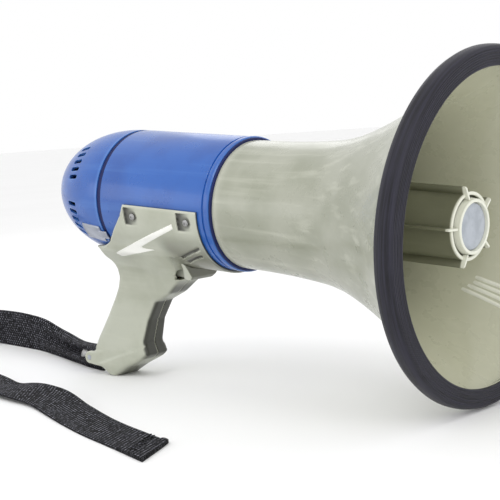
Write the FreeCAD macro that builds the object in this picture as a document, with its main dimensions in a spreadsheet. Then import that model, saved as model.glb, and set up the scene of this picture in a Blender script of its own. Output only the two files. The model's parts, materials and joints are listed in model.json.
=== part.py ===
import FreeCAD, Part
import Sketcher
import math
import os
import re
from FreeCAD import Placement, Rotation, Vector

# Handheld megaphone. Every piece is drawn in the horn's own frame: X runs along
# the horn's axis and out of the bell, Z points up, and the origin is the centre
# of the bell's front plane. One placement, "standing", then stands the whole
# object on the bottom of the bell rim and the heel of the grip.

DIMENSIONS = {
    # horn
    "bell_radius": 115.0, "rim_inner_radius": 101.5, "rim_depth": 13.0, "bell_wall": 2.4,
    "neck_back": 199.0, "spigot_length": 13.0, "spigot_radius": 45.8,
    # reflector cup and its fins
    "cup_front": 18.0, "cup_back": 152.0, "cup_radius": 23.5, "cup_wall": 1.6, "cup_floor": 2.0,
    "fin_reach": 28.5, "fin_thickness": 1.6, "fin_count": 5, "foot_front": 128.0,
    "disc_radius": 15.5, "disc_ring_radius": 19.0,
    # driver
    "throat_front": 60.0, "throat_radius": 11.0, "throat_wall": 1.5, "flange_back": 217.0,
    "flange_radius": 45.4, "flange_bolt_circle": 39.0, "magnet_radius": 35.0,
    "coil_radius": 13.0, "diaphragm_radius": 26.0, "yoke_back": 250.0,
    # body shell and rear cap
    "body_radius": 49.0, "body_wall": 2.6, "body_back": 312.9, "cap_seam": 314.4,
    "cap_length": 78.0, "cap_depth": 69.7, "cap_wall": 2.4, "cap_spigot": 7.0,
    "vent_length": 7.5, "vent_width": 3.0, "vent_pitch": 8.2, "vent_place": 35.0,
    "vent_groups": 6, "vents_in_group": 5, "vent_phase": 3.0,
    # battery pack and amplifier
    "cell_radius": 7.2, "cell_length": 50.5, "cell_circle": 19.6, "cell_count": 8,
    "cell_front": 256.2, "holder_radius": 29.0,
    "board_length": 46.0, "board_width": 56.0, "board_thickness": 1.6, "board_height": 31.0,
    # controls on the back of the cap
    "control_offset": 9.5, "control_drop": 9.0, "mic_height": 10.5, "mic_radius": 9.0,
    "knob_radius": 7.5, "knob_length": 7.5, "slider_travel": 4.4,
    # saddle and grip
    "saddle_radius": 51.3, "saddle_front": 211.0, "running_gap": 0.35, "cap_gap": 0.6,
    "grip_wall": 2.6, "screw_radius": 1.5, "screw_head_radius": 2.8, "saddle_screw_angle": 78.0,
    "front_screw_place": 221.5, "rear_screw_place": 275.6,
    "plunger_radius": 1.6, "strap_pin_radius": 2.0,
    "strap_pin_place": 361.0, "strap_pin_height": 135.0, "lug_radius": 5.0,
    "clip_place": 328.0, "tongue_place": 316.4,
    # strap
    "strap_width": 32.0, "strap_thickness": 1.6, "strap_lift": 0.6,
}

doc = FreeCAD.newDocument("Megaphone")
sheet = doc.addObject("Spreadsheet::Sheet", "Dims")
for row, (alias, value) in enumerate(DIMENSIONS.items(), start=1):
    sheet.set("A%d" % row, alias.replace("_", " "))
    sheet.set("B%d" % row, str(value))
    sheet.setAlias("B%d" % row, alias)
doc.recompute()

AXIAL = Rotation(Vector(0, 1, 0), -90)      # turns a primitive's Z to point backwards, along -X
nodes = []


def bound(expression):
    """The expression with each dimension's name turned into its cell."""
    def cell(match):
        word = match.group()
        return "Dims." + word if word in DIMENSIONS else word
    return re.sub(r"[a-z][a-z_]+[a-z]", cell, str(expression))


def size(expression):
    """The value of an expression of driving dimensions, in millimetres or degrees."""
    result = sheet.evalExpression(bound(expression))
    return float(getattr(result, "Value", result))


def node(piece, label):
    """Name a finished piece: its label is its file's name."""
    piece.Label = label
    nodes.append(piece)
    return piece


def plane_of(body, role):
    return next(feature for feature in body.Origin.OriginFeatures if feature.Role == role)


def outline(body, role, points, offset=None):
    """A closed sketch of straight lines whose corners are bound to the sheet."""
    sketch = body.newObject("Sketcher::SketchObject", body.Name + "_outline")
    sketch.AttachmentSupport = [(plane_of(body, role), "")]
    sketch.MapMode = "FlatFace"
    if offset is not None:
        sketch.setExpression("AttachmentOffset.Base.z", bound(offset))
    corners = [Vector(size(a), size(b), 0) for a, b in points]
    count = len(corners)
    for i in range(count):
        sketch.addGeometry(Part.LineSegment(corners[i], corners[(i + 1) % count]))
    for i in range(count):
        sketch.addConstraint(Sketcher.Constraint("Coincident", i, 2, (i + 1) % count, 1))
    for i, (a, b) in enumerate(points):
        across = ("DistanceX", a, corners[i].x, -2)
        upwards = ("DistanceY", b, corners[i].y, -1)
        for kind, expression, value, axis in (across, upwards):
            if abs(value) < 1e-9:
                sketch.addConstraint(Sketcher.Constraint("PointOnObject", i, 1, axis))
            else:
                place = sketch.addConstraint(Sketcher.Constraint(kind, -1, 1, i, 1, value))
                sketch.setExpression("Constraints[%d]" % place, bound(expression))
    return sketch


def turned(label, points):
    """A body of revolution about the horn's axis. Points are (distance behind the front, radius)."""
    body = doc.addObject("PartDesign::Body", label)
    sketch = outline(body, "XZ_Plane", [("-(%s)" % back, radius) for back, radius in points])
    turn = body.newObject("PartDesign::Revolution", label + "_turn")
    turn.Profile = sketch
    turn.ReferenceAxis = (sketch, ["H_Axis"])
    turn.Angle = 360
    return node(body, label)


def ring(label, front, back, outer, inner):
    """A plain ring between two distances behind the front plane."""
    return turned(label, [(front, inner), (front, outer), (back, outer), (back, inner)])


def rod(name, radius, length, base, rotation=AXIAL):
    """A cylinder from a base point, running backwards unless another rotation is given."""
    cylinder = doc.addObject("Part::Cylinder", name)
    cylinder.setExpression("Radius", bound(radius))
    cylinder.setExpression("Height", bound(length))
    cylinder.Placement = Placement(base, rotation)
    return cylinder


def block(name, sizes, centre, turn=0.0):
    """A box of the given sizes about a centre, turned about the horn's axis."""
    box = doc.addObject("Part::Box", name)
    for side, expression in zip(("Length", "Width", "Height"), sizes):
        box.setExpression(side, bound(expression))
    half = Vector(*[-size(s) / 2 for s in sizes])
    rotation = Rotation(Vector(1, 0, 0), turn)
    box.Placement = Placement(centre + rotation.multVec(half), rotation)
    return box


def fused(name, pieces):
    union = doc.addObject("Part::MultiFuse", name)
    union.Shapes = pieces
    union.Refine = True
    return union


def grouped(name, pieces):
    group = doc.addObject("Part::Compound", name)
    group.Links = pieces
    return group


def cut(name, base, tool):
    result = doc.addObject("Part::Cut", name)
    result.Base = base
    result.Tool = tool
    return result


def around(angle, radius, back):
    """A point at an angle from the top, towards +Y, at a radius and a distance behind the front."""
    turn = math.radians(angle)
    return Vector(-back, radius * math.sin(turn), radius * math.cos(turn))


# ---------------------------------------------------------------- horn

# Outer profile of the bell: (distance behind the front, outer radius). A long,
# nearly cylindrical neck, then an exponential-like flare out to the rim.
FLARE = [(199.0, 46.5), (170.0, 46.9), (145.0, 48.0), (120.0, 50.2), (104.0, 53.4), (92.0, 57.2),
         (80.0, 62.0), (68.0, 67.4), (56.0, 73.4), (44.0, 80.2), (30.0, 89.5), (18.0, 98.5), (9.0, 106.0)]


def bell_profile():
    outer = [(back, radius) for back, radius in FLARE]
    inner = [(back, "%s-bell_wall" % radius) for back, radius in reversed(FLARE[:-1])]
    lip = [("2.0", "bell_radius-3.0"), ("2.0", "rim_inner_radius"), ("9.0", "106.0-bell_wall*1.3")]
    flange = [("neck_back+spigot_length-4.0", "43.4"), ("neck_back+spigot_length-4.0", "34.0"),
              ("neck_back+spigot_length", "34.0"), ("neck_back+spigot_length", "spigot_radius"),
              ("neck_back", "spigot_radius")]
    return outer + lip + inner + flange


turned("bell", bell_profile())
turned("bell_rim", [("0", "rim_inner_radius"), ("0", "bell_radius-4.0"), ("1.2", "bell_radius-1.2"),
                    ("4.0", "bell_radius"), ("9.0", "bell_radius"), ("rim_depth", "bell_radius-2.2"),
                    ("rim_depth", "109.0"), ("9.1", "106.2"), ("1.9", "bell_radius-2.9"),
                    ("1.9", "rim_inner_radius")])

cup = turned("reflector_cup", [
    ("cup_front", "disc_ring_radius+1.0"), ("cup_front", "cup_radius"), ("cup_back", "cup_radius"),
    ("cup_back", "cup_radius-cup_wall"), ("cup_front+cup_floor+4.0", "cup_radius-cup_wall"),
    ("cup_front+cup_floor+4.0", "0"), ("cup_front+4.0", "0"), ("cup_front+4.0", "disc_ring_radius+1.0")])
fin_sketch = outline(cup, "XY_Plane", [
    ("-cup_front", "-(cup_radius-0.8)"), ("-cup_front", "-fin_reach"), ("-(foot_front-14.0)", "-fin_reach"),
    ("-foot_front", "-42.0"), ("-cup_back", "-42.0"), ("-cup_back", "-(cup_radius-0.8)")])
fin = cup.newObject("PartDesign::Pad", "reflector_fin")
fin.Profile = fin_sketch
fin.SideType = "Symmetric"
fin.setExpression("Length", bound("fin_thickness"))
doc.recompute()
fins = cup.newObject("PartDesign::PolarPattern", "reflector_fins")
fins.Originals = [fin]
fins.Axis = (fin_sketch, ["H_Axis"])
fins.Angle = 360
fins.setExpression("Occurrences", bound("fin_count"))
cup.Tip = fins
turned("reflector_disc", [
    ("cup_front-1.0", "disc_radius-1.0"), ("cup_front-1.0", "disc_ring_radius"),
    ("cup_front+3.95", "disc_ring_radius"), ("cup_front+3.95", "0"), ("cup_front+1.6", "0"),
    ("cup_front+1.6", "disc_radius-1.0")])

# ---------------------------------------------------------------- driver
ring("throat_tube", "throat_front", "flange_back-4.1", "throat_radius", "throat_radius-throat_wall")
flange = ring("driver_flange", "flange_back-4.0", "flange_back", "flange_radius", "8.0")
bolt_holes = flange.newObject("Sketcher::SketchObject", "flange_bolt_holes")
bolt_holes.AttachmentSupport = [(plane_of(flange, "YZ_Plane"), "")]
bolt_holes.MapMode = "FlatFace"
bolt_holes.setExpression("AttachmentOffset.Base.z", bound("-(flange_back+1.0)"))
for quarter in range(4):
    turn = math.radians(45 + 90 * quarter)
    centre = Vector(math.cos(turn), math.sin(turn), 0) * size("flange_bolt_circle")
    bolt_holes.addGeometry(Part.Circle(centre, Vector(0, 0, 1), size("screw_radius+0.1")))
bolt_cut = flange.newObject("PartDesign::Pocket", "flange_bolt_cut")
bolt_cut.Profile = bolt_holes
bolt_cut.Reversed = True
bolt_cut.Length = 8
ring("spacer_ring", "flange_back+0.05", "224.9", "magnet_radius", "diaphragm_radius+0.3")
turned("diaphragm", [("218.6", "0"), ("219.4", "6.0"), ("221.6", "coil_radius-1.0"),
                     ("223.6", "coil_radius+1.0"), ("222.8", "20.0"),
                     ("224.4", "diaphragm_radius"), ("224.9", "diaphragm_radius"),
                     ("223.4", "20.0"), ("224.2", "coil_radius+1.0"), ("222.2", "coil_radius-1.0"),
                     ("220.0", "6.0"), ("219.2", "0")])
ring("voice_coil", "224.3", "231.0", "coil_radius-0.1", "coil_radius-0.7")
ring("top_plate", "225.0", "230.0", "magnet_radius", "coil_radius+0.6")
ring("magnet", "230.05", "245.0", "magnet_radius", "18.0")
turned("yoke", [("225.2", "0"), ("225.2", "coil_radius-1.2"), ("245.05", "coil_radius-1.2"),
                ("245.05", "magnet_radius"), ("yoke_back", "magnet_radius"), ("yoke_back", "0")])


def screw(name, tip, head, direction, shank_radius="screw_radius", head_radius="screw_head_radius"):
    """A pan-head screw from its tip to the underside of its head, along a direction."""
    towards = Rotation(Vector(0, 0, 1), direction)
    length = (head - tip).Length
    shank = rod(name + "_shank", shank_radius, length + 0.2, tip, towards)
    cap = rod(name + "_head", head_radius, 1.8, head, towards)
    slot_place = head + direction * 1.8
    slot = doc.addObject("Part::Box", name + "_slot")
    slot.Length, slot.Width, slot.Height = 4.4, 0.8, 1.6
    slot.Placement = Placement(slot_place + towards.multVec(Vector(-2.2, -0.4, -0.8)), towards)
    return cut(name, fused(name + "_blank", [shank, cap]), slot)


flange_screws = []
for quarter in range(4):
    spot = around(45 + 90 * quarter, size("flange_bolt_circle"), size("flange_back"))
    tip = spot + Vector(3.9, 0, 0)
    flange_screws.append(screw("flange_screw_%d" % quarter, tip, spot, Vector(-1, 0, 0)))
node(grouped("flange_screw_group", flange_screws), "flange_screws")

# ---------------------------------------------------------------- body shell and seals
turned("body_shell", [
    ("neck_back+1.6", "body_radius-body_wall"), ("neck_back+1.6", "body_radius-1.2"),
    ("neck_back+2.8", "body_radius"), ("body_back", "body_radius"),
    ("body_back", "body_radius-body_wall")])
ring("front_seal", "neck_back+0.02", "neck_back+1.58", "body_radius-1.5", "spigot_radius+0.02")
ring("cap_seal", "body_back+0.02", "cap_seam-0.02", "body_radius-0.7", "body_radius-body_wall-0.1")

# ---------------------------------------------------------------- battery pack
cells = []
contacts = []
for number in range(int(size("cell_count"))):
    angle = 22.5 + 45 * number
    front = around(angle, size("cell_circle"), size("cell_front"))
    can = rod("cell_can_%d" % number, "cell_radius", "cell_length-1.2", front - Vector(1.2, 0, 0))
    tip = rod("cell_tip_%d" % number, "2.6", "1.4", front)
    cells.append(fused("cell_%d" % number, [can, tip]))
    coil = doc.addObject("Part::Cone", "contact_%d" % number)
    coil.Radius1, coil.Radius2, coil.Height = 2.4, 4.6, 1.8
    cell_end = around(angle, size("cell_circle"), size("cell_front+cell_length+0.02"))
    coil.Placement = Placement(cell_end, AXIAL)
    contacts.append(coil)
node(grouped("cell_group", cells), "battery_cells")
node(grouped("contact_group", contacts), "battery_contacts")
holder_start = around(0, 0, size("cell_front-1.5"))
holder_end = around(0, 0, size("cell_front+cell_length+1.9"))
node(fused("holder", [rod("holder_core", "11.0", "cell_length+5.0", holder_start),
                      rod("holder_front", "holder_radius", "1.4", holder_start),
                      rod("holder_back", "holder_radius", "1.4", holder_end)]), "battery_holder")

# ---------------------------------------------------------------- amplifier
board_centre = Vector(-size("cell_front+board_length/2"), 0, size("board_height"))
node(block("board", ("board_length", "board_width", "board_thickness"), board_centre), "amplifier_board")
top_side = board_centre + Vector(0, 0, size("board_thickness/2+0.02"))
plate = block("sink_plate", ("24", "30", "2"), top_side + Vector(8, 0, 1))
blades = [block("sink_blade_%d" % i, ("24", "1.4", "7"), top_side + Vector(8, -13 + 6.5 * i, 5.4))
          for i in range(5)]
node(fused("sink", [plate] + blades), "heat_sink")
cans = [rod("capacitor_%d" % i, "3.2", "9", top_side + Vector(-12, -9 + 9 * i, 0), Rotation())
        for i in range(3)]
node(grouped("capacitors", cans), "board_capacitors")

# ---------------------------------------------------------------- rear cap


def dome(name, radius, length, depth):
    """Half an ellipsoid behind the seam, cut flat at a depth."""
    shell = doc.addObject("Part::Ellipsoid", name + "_ellipsoid")
    shell.setExpression("Radius1", bound(length))
    shell.setExpression("Radius2", bound(radius))
    shell.setExpression("Radius3", bound(radius))
    shell.Placement = Placement(around(0, 0, size("cap_seam")), AXIAL)
    stop = rod(name + "_stop", "body_radius+1", depth, around(0, 0, size("cap_seam")))
    common = doc.addObject("Part::Common", name)
    common.Base = shell
    common.Tool = stop
    return common


back_face = size("cap_seam+cap_depth")
knob_spot = Vector(-back_face, size("control_offset"), -size("control_drop"))
slider_spot = Vector(-back_face, -size("control_offset"), -size("control_drop"))
mic_spot = Vector(-back_face, 0, size("mic_height"))
collar = cut("cap_collar",
             rod("collar_outer", "45.9", "cap_spigot+20.0", around(0, 0, size("cap_seam-cap_spigot"))),
             rod("collar_inner", "43.6", "cap_spigot+22.0", around(0, 0, size("cap_seam-cap_spigot-1"))))
cap_shell = fused("cap_shell", [
    cut("cap_hollow", dome("dome_outer", "body_radius", "cap_length", "cap_depth"),
        dome("dome_inner", "body_radius-cap_wall", "cap_length-cap_wall", "cap_depth-cap_wall")), collar])
openings = []
for group in range(int(size("vent_groups"))):
    for place in range(int(size("vents_in_group"))):
        angle = size("60*%d-vent_phase+vent_pitch*(%d-2)" % (group, place))
        spot = around(angle, 41.5, size("cap_seam+vent_place"))
        vent_sizes = ("vent_length", "vent_width", "14")
        openings.append(block("vent_%d_%d" % (group, place), vent_sizes, spot, -angle))
openings.append(rod("mic_hole", "mic_radius+0.05", "6", mic_spot + Vector(4, 0, 0)))
openings.append(rod("knob_hole", "3.2", "6", knob_spot + Vector(4, 0, 0)))
openings.append(block("slider_slot", ("8", "9", "4.4"), slider_spot))
node(cut("cap", cap_shell, grouped("cap_openings", openings)), "rear_cap")

grille_holes = [rod("grille_hole_0", "1.0", "6", mic_spot + Vector(4, 0, 0))]
for circle, count in ((3.3, 6), (6.4, 12)):
    for i in range(count):
        turn = math.radians(360.0 * i / count)
        offset = Vector(4, circle * math.sin(turn), circle * math.cos(turn))
        grille_holes.append(rod("grille_hole_%d_%d" % (count, i), "0.9", "6", mic_spot + offset))
node(cut("grille", rod("grille_disc", "mic_radius", "3.0", mic_spot + Vector(2.3, 0, 0)),
         grouped("grille_holes", grille_holes)), "mic_grille")
node(rod("mic", "4.8", "6.5", mic_spot + Vector(8.9, 0, 0)), "mic_capsule")
node(fused("pot", [rod("pot_can", "8.0", "8.5", knob_spot + Vector(10.95, 0, 0)),
                   rod("pot_shaft", "3.0", "9.2", knob_spot + Vector(2.6, 0, 0))]), "volume_control")
knob_blank = rod("knob_blank", "knob_radius", "knob_length", knob_spot - Vector(0.5, 0, 0))
knob_cuts = [rod("knob_bore", "3.05", "7.0", knob_spot)]
for i in range(16):
    turn = math.radians(360.0 / 16 * i)
    rim_point = Vector(0, size("knob_radius") * math.sin(turn), size("knob_radius") * math.cos(turn))
    knob_cuts.append(rod("knob_flute_%d" % i, "0.7", "5.5", knob_spot + rim_point - Vector(0.2, 0, 0)))
node(cut("knob", knob_blank, grouped("knob_cuts", knob_cuts)), "volume_knob")
node(block("switch_can", ("6", "13", "9"), slider_spot + Vector(5.5, 0, 0)), "mode_switch")
slider_rest = slider_spot - Vector(0, size("slider_travel/2"), 0)
slider_foot = block("slider_foot", ("4.0", "3.8", "3.8"), slider_rest + Vector(0.3, 0, 0))
slider_cap = block("slider_cap", ("1.2", "3.8", "3.8"), slider_rest - Vector(2.2, 0, 0))
node(fused("slider", [slider_foot, slider_cap]), "mode_slider")

# Spring clips, one each side of the seam: a plate on the cap and a tongue that
# reaches forwards over the body shell.


def clip(side):
    angle = 180 - side * 55.0
    plate = block("clip_plate_%s" % side, ("22", "15", "1.0"), Vector(0, 0, 0))
    local = Rotation(Vector(0, 1, 0), -6.5)
    roll = Rotation(Vector(1, 0, 0), -angle)
    half = Vector(-11, -7.5, -0.5)
    plate_place = around(angle, size("body_radius+0.25"), size("clip_place"))
    plate.Placement = Placement(plate_place + (roll * local).multVec(half), roll * local)
    tongue_place = around(angle, size("body_radius+0.9"), size("tongue_place"))
    tongue = block("clip_tongue_%s" % side, ("11.0", "7", "1.0"), tongue_place, -angle)
    return fused("clip_%s" % side, [plate, tongue])


node(clip(1), "clip_left")
node(clip(-1), "clip_right")

# ---------------------------------------------------------------- saddle and grip

# Level sections of the grip: height, back, front, half width at the back, half width at the front.
GRIP_SECTIONS = [
    (-40, 340, 246, 31, 30), (-46, 338, 250, 24, 24), (-52, 335, 255.5, 19.5, 19),
    (-60, 331.5, 262, 17, 14.5), (-66, 330, 268.5, 16.5, 12.5), (-74, 332, 277, 16, 11),
    (-82, 335.5, 291, 16, 10), (-98, 344, 299.5, 16, 9.5), (-116, 354, 304, 16.5, 11),
    (-125, 358, 299.5, 18.5, 12), (-129, 358.5, 304, 19, 12),
    (-138, 357, 321, 19, 14), (-147, 346, 334, 15, 12)]


def level_section(height, back, front, back_half, front_half, inset):
    """An eight-cornered closed wire: a trapezoid with its corners taken off."""
    back, front = back - inset, front + inset
    back_half, front_half = back_half - inset, front_half - inset
    taper = (back_half - front_half) / (back - front)
    back_corner, front_corner = 0.4 * back_half, 0.3 * front_half
    side = [(-back, back_half - back_corner), (-back + back_corner, back_half - taper * back_corner),
            (-front - front_corner, front_half + taper * front_corner), (-front, front_half - front_corner)]
    corners = side + [(x, -y) for x, y in reversed(side)]
    points = [Vector(x, y, height) for x, y in corners]
    return Part.makePolygon(points + points[:1])


def lofted(sections, inset=0.0):
    return Part.makeLoft([level_section(*s, inset) for s in sections], True, True)


def level_at(height):
    """The section at any height, between the two listed ones."""
    for low, high in zip(GRIP_SECTIONS[1:], GRIP_SECTIONS):
        if low[0] <= height <= high[0]:
            share = (height - low[0]) / (high[0] - low[0])
            return tuple(a + (b - a) * share for a, b in zip(low, high))
    raise ValueError("no section at height %s" % height)


def tube_x(radius, front, back):
    return Part.makeCylinder(radius, back - front, Vector(-front, 0, 0), Vector(-1, 0, 0))


def bar_y(radius, back, height, half):
    return Part.makeCylinder(radius, 2 * half, Vector(-back, -half, height), Vector(0, 1, 0))


def box_between(low, high):
    return Part.makeBox(high[0] - low[0], high[1] - low[1], high[2] - low[2], Vector(*low))


def prism_y(points, half):
    wire = Part.makePolygon([Vector(-back, -half, height) for back, height in points + points[:1]])
    return Part.Face(wire).extrude(Vector(0, 2 * half, 0))


# The saddle's side view: level top edge on the horn's axis, rear edge running
# backwards as it goes down.
saddle_front = size("saddle_front")
SADDLE_SIDE = [(saddle_front, -2), (285, -2), (289, -10.7), (295, -17.5), (304, -26.4), (310.5, -32.3),
               (320.5, -39.3), (331, -46), (336, -52), (saddle_front, -52)]
SADDLE_SCREWS = [(side, place) for side in (1, -1) for place in ("front_screw_place", "rear_screw_place")]
GRIP_SCREW_PLACES = [(334.0, -58.0), (318.0, -84.0), (331.0, -112.0)]
outer_saddle = size("saddle_radius")


def screw_axis(side, place):
    angle = 180 - side * size("saddle_screw_angle")
    direction = around(angle, 1, 0)
    return around(angle, 0, size(place)), direction


def grip_solid():
    saddle = tube_x(outer_saddle, 205, 340).common(prism_y(SADDLE_SIDE, 60))
    body = saddle.fuse(lofted(GRIP_SECTIONS))
    lugs = bar_y(size("lug_radius"), size("strap_pin_place"), -size("strap_pin_height"), 17.5)
    web = prism_y([(345, -125), (362, -130.2), (362, -139.8), (345, -143)], 17.5)
    body = body.fuse(lugs).fuse(web)
    body = body.cut(box_between((-372, -13.2, -145), (-352.5, 13.2, -122)))
    body = body.cut(tube_x(size("body_radius+0.06"), 200, 400))
    body = body.cut(tube_x(size("body_radius+cap_gap"), size("body_back"), 400))
    cavity_sections = [level_at(h) for h in (-53.5, -60, -66, -74, -82, -98, -116, -119)]
    body = body.cut(lofted(cavity_sections, size("grip_wall")))
    for back, height in GRIP_SCREW_PLACES:
        boss = bar_y(4.0, back, height, level_at(height)[4] - 1.0)
        body = body.fuse(boss)
    for back, height in GRIP_SCREW_PLACES:
        shank_hole = Vector(-back, -7.0, height)
        body = body.cut(Part.makeCylinder(size("screw_radius+0.05"), 60, shank_hole, Vector(0, 1, 0)))
        counterbore = Vector(-back, 9.0, height)
        body = body.cut(Part.makeCylinder(size("screw_head_radius+0.3"), 40, counterbore, Vector(0, 1, 0)))
    return body.cut(bar_y(size("strap_pin_radius"), size("strap_pin_place"), -size("strap_pin_height"), 20))


# Level sections of the trigger's front: height, back, front, half width.
TRIGGER_SECTIONS = [(-44, 249.4, 245.0, 25.5), (-52, 256.4, 248.5, 18.0), (-57.5, 261.0, 251.0, 13.5),
                    (-60.5, 262.6, 255.5, 12.0)]


def trigger_shape(gap):
    """The trigger's flared front, which slides straight back, and its stem inside the grip."""
    front_sections = []
    for height, back, front, half in TRIGGER_SECTIONS:
        corners = [(-back, half), (-front - 1.5, half - 1.2), (-front, half - 3.0)]
        corners = corners + [(x, -y) for x, y in reversed(corners)]
        points = [Vector(x, y, height) for x, y in corners]
        front_sections.append(Part.makePolygon(points + points[:1]))
    front = Part.makeLoft(front_sections, True, True)
    stem = box_between((-276.0, -8.0, -60.0), (-256.0, 8.0, -52.0))
    whole = front.fuse(stem)
    return whole.cut(tube_x(outer_saddle + gap, 200, 400))


housing_cut = box_between((-290, -8.5, -60.6), (-240, 8.5, -51.7))
grip = grip_solid().cut(housing_cut)
# Room for the trigger's front over its whole travel.
front_clearance = prism_y([(240, -43), (252.2, -43), (259.4, -52), (264.4, -57.5), (266.2, -61.2),
                           (240, -61.2)], 40)
front_clearance = front_clearance.cut(tube_x(outer_saddle, 200, 400))
grip = grip.cut(front_clearance)

for side, place in SADDLE_SCREWS:
    centre, direction = screw_axis(side, place)
    hole = Part.makeCylinder(size("screw_radius+0.05"), 60, centre, direction)
    pocket_floor = centre + direction * (outer_saddle - 1.0)
    pocket = Part.makeCylinder(size("screw_head_radius+1.6"), 20, pocket_floor, direction)
    grip = grip.cut(hole).cut(pocket)


def half_of(shape, side):
    low = -80 if side < 0 else 0.0
    return shape.common(box_between((-400, low, -160), (-180, low + 80, 0)))


def plain(label, shape):
    feature = doc.addObject("Part::Feature", label)
    feature.Shape = shape
    return node(feature, label)


def largest(shape):
    return max(shape.Solids, key=lambda solid: solid.Volume)


plain("grip_left", largest(half_of(grip, 1)))
plain("grip_right", largest(half_of(grip, -1)))
trigger = trigger_shape(size("running_gap"))
spring_bore = Part.makeCylinder(2.6, 8.0, Vector(-277, 0, -54.6), Vector(1, 0, 0))
plain("trigger", largest(trigger.cut(spring_bore)))


def trigger_spring():
    path = Part.makeHelix(1.5, 9.0, 1.9)
    wire = Part.Wire([Part.Circle(Vector(1.9, 0, 0), Vector(0, 1, 0), 0.3).toShape()])
    coil = Part.Wire(path).makePipeShell([wire], True, True)
    coil.rotate(Vector(0, 0, 0), Vector(0, 1, 0), 90)
    coil.translate(Vector(-279.2, 0, -54.6))
    return coil


plain("trigger_spring", trigger_spring())
switch_body = box_between((-292.0, -5.0, -66.0), (-281.2, 5.0, -58.2))
FORWARDS = Vector(1, 0, 0)
plunger_hole = Part.makeCylinder(size("plunger_radius+0.06"), 8.0, Vector(-289, 0, -60.5), FORWARDS)
plain("microswitch", switch_body.cut(plunger_hole))
plain("switch_plunger", Part.makeCylinder(size("plunger_radius"), 8.0, Vector(-284.3, 0, -60.5), FORWARDS))
plain("spring_seat", box_between((-282.6, -6.0, -57.9), (-279.5, 6.0, -52.2)))

saddle_screws = []
for number, (side, place) in enumerate(SADDLE_SCREWS):
    centre, direction = screw_axis(side, place)
    tip = centre + direction * size("body_radius+0.07")
    under_head = centre + direction * (outer_saddle - 0.98)
    saddle_screws.append(screw("saddle_screw_%d" % number, tip, under_head, direction))
node(grouped("saddle_screw_group", saddle_screws), "saddle_screws")
grip_screws = []
for number, (back, height) in enumerate(GRIP_SCREW_PLACES):
    tip = Vector(-back, -6.5, height)
    under_head = Vector(-back, 9.02, height)
    grip_screws.append(screw("grip_screw_%d" % number, tip, under_head, Vector(0, 1, 0)))
node(grouped("grip_screw_group", grip_screws), "grip_screws")
plain("strap_pin", bar_y(size("strap_pin_radius-0.02"), size("strap_pin_place"),
                         -size("strap_pin_height"), 17.4))

# ---------------------------------------------------------------- standing placement
doc.recompute()
rim_drop = size("bell_radius")
rim_back = 4.0
heel = min((v.Point for v in grip.Vertexes), key=lambda p: p.z + p.x * 0.1)
# The tilt at which the rim's bottom, at (-rim_back, -rim_drop), and the heel are at one height.
tilt = math.degrees(math.atan2(-heel.z - rim_drop, -heel.x - rim_back))
turned_frame = Placement(Vector(0, 0, 0), Rotation(Vector(0, 1, 0), tilt))


def extent(shapes):
    box = FreeCAD.BoundBox()
    for shape in shapes:
        copy = shape.copy()
        copy.Placement = turned_frame.multiply(copy.Placement)
        box.add(copy.optimalBoundingBox(False))
    return box


whole = extent([piece.Shape for piece in nodes])
shift = Vector(-(whole.XMin + whole.XMax) / 2, -(whole.YMin + whole.YMax) / 2, -whole.ZMin)
standing = Placement(shift, turned_frame.Rotation)
for piece in nodes:
    piece.Placement = standing.multiply(piece.Placement)

# ---------------------------------------------------------------- strap

# Middle line of the webbing on the floor, from the lug backwards, round, and
# forwards again beside the grip. Points are (x, y) from the rim centre's foot.
STRAP_ROUTE = [(-375, 0), (-396, 6), (-422, 16), (-462, 33), (-508, 48), (-560, 62), (-612, 74),
               (-664, 72), (-708, 52), (-732, 14), (-726, -30), (-692, -64), (-644, -84), (-592, -90),
               (-536, -84), (-482, -75), (-430, -79), (-388, -94), (-350, -103), (-312, -109),
               (-258, -134), (-206, -156), (-165, -171), (-131, -184)]


def arc_path(route, height):
    """Straight runs joined by tangent arcs, each as large as its two runs allow."""
    points = [Vector(x + standing.Base.x, y, height) for x, y in route]
    edges, radii, start = [], [], points[0]
    for before, corner, after in zip(points, points[1:], points[2:]):
        coming, going = (corner - before), (after - corner)
        shorter = min(coming.Length, going.Length)
        coming.normalize()
        going.normalize()
        turn = coming.getAngle(going)
        radii.append(0.45 * shorter / math.tan(turn / 2))
        first, last = corner - coming * 0.45 * shorter, corner + going * 0.45 * shorter
        inward = (going - coming).normalize()
        middle_gap = radii[-1] / math.cos(turn / 2) - radii[-1]
        edges.append(Part.LineSegment(start, first).toShape())
        edges.append(Part.Arc(first, corner + inward * middle_gap, last).toShape())
        start = last
    edges.append(Part.LineSegment(start, points[-1]).toShape())
    return Part.Wire(edges), radii


def strap_solid(route):
    base = size("strap_lift")
    path, radii = arc_path(route, base)
    first_run = path.Edges[0]
    ahead = first_run.tangentAt(first_run.FirstParameter)
    side = ahead.cross(Vector(0, 0, 1)) * size("strap_thickness/2")
    start = path.Vertexes[0].Point
    up = Vector(0, 0, size("strap_width"))
    profile = Part.makePolygon([start - side, start + side, start + side + up, start - side + up,
                                start - side])
    solid = path.makePipeShell([profile], True, False)
    print("strap radii", [round(r) for r in radii])
    print("strap length %.1f, volume ratio %.4f" % (
        path.Length, solid.Volume / (path.Length * size("strap_width*strap_thickness"))))
    return solid


plain("strap", strap_solid(STRAP_ROUTE))

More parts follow.
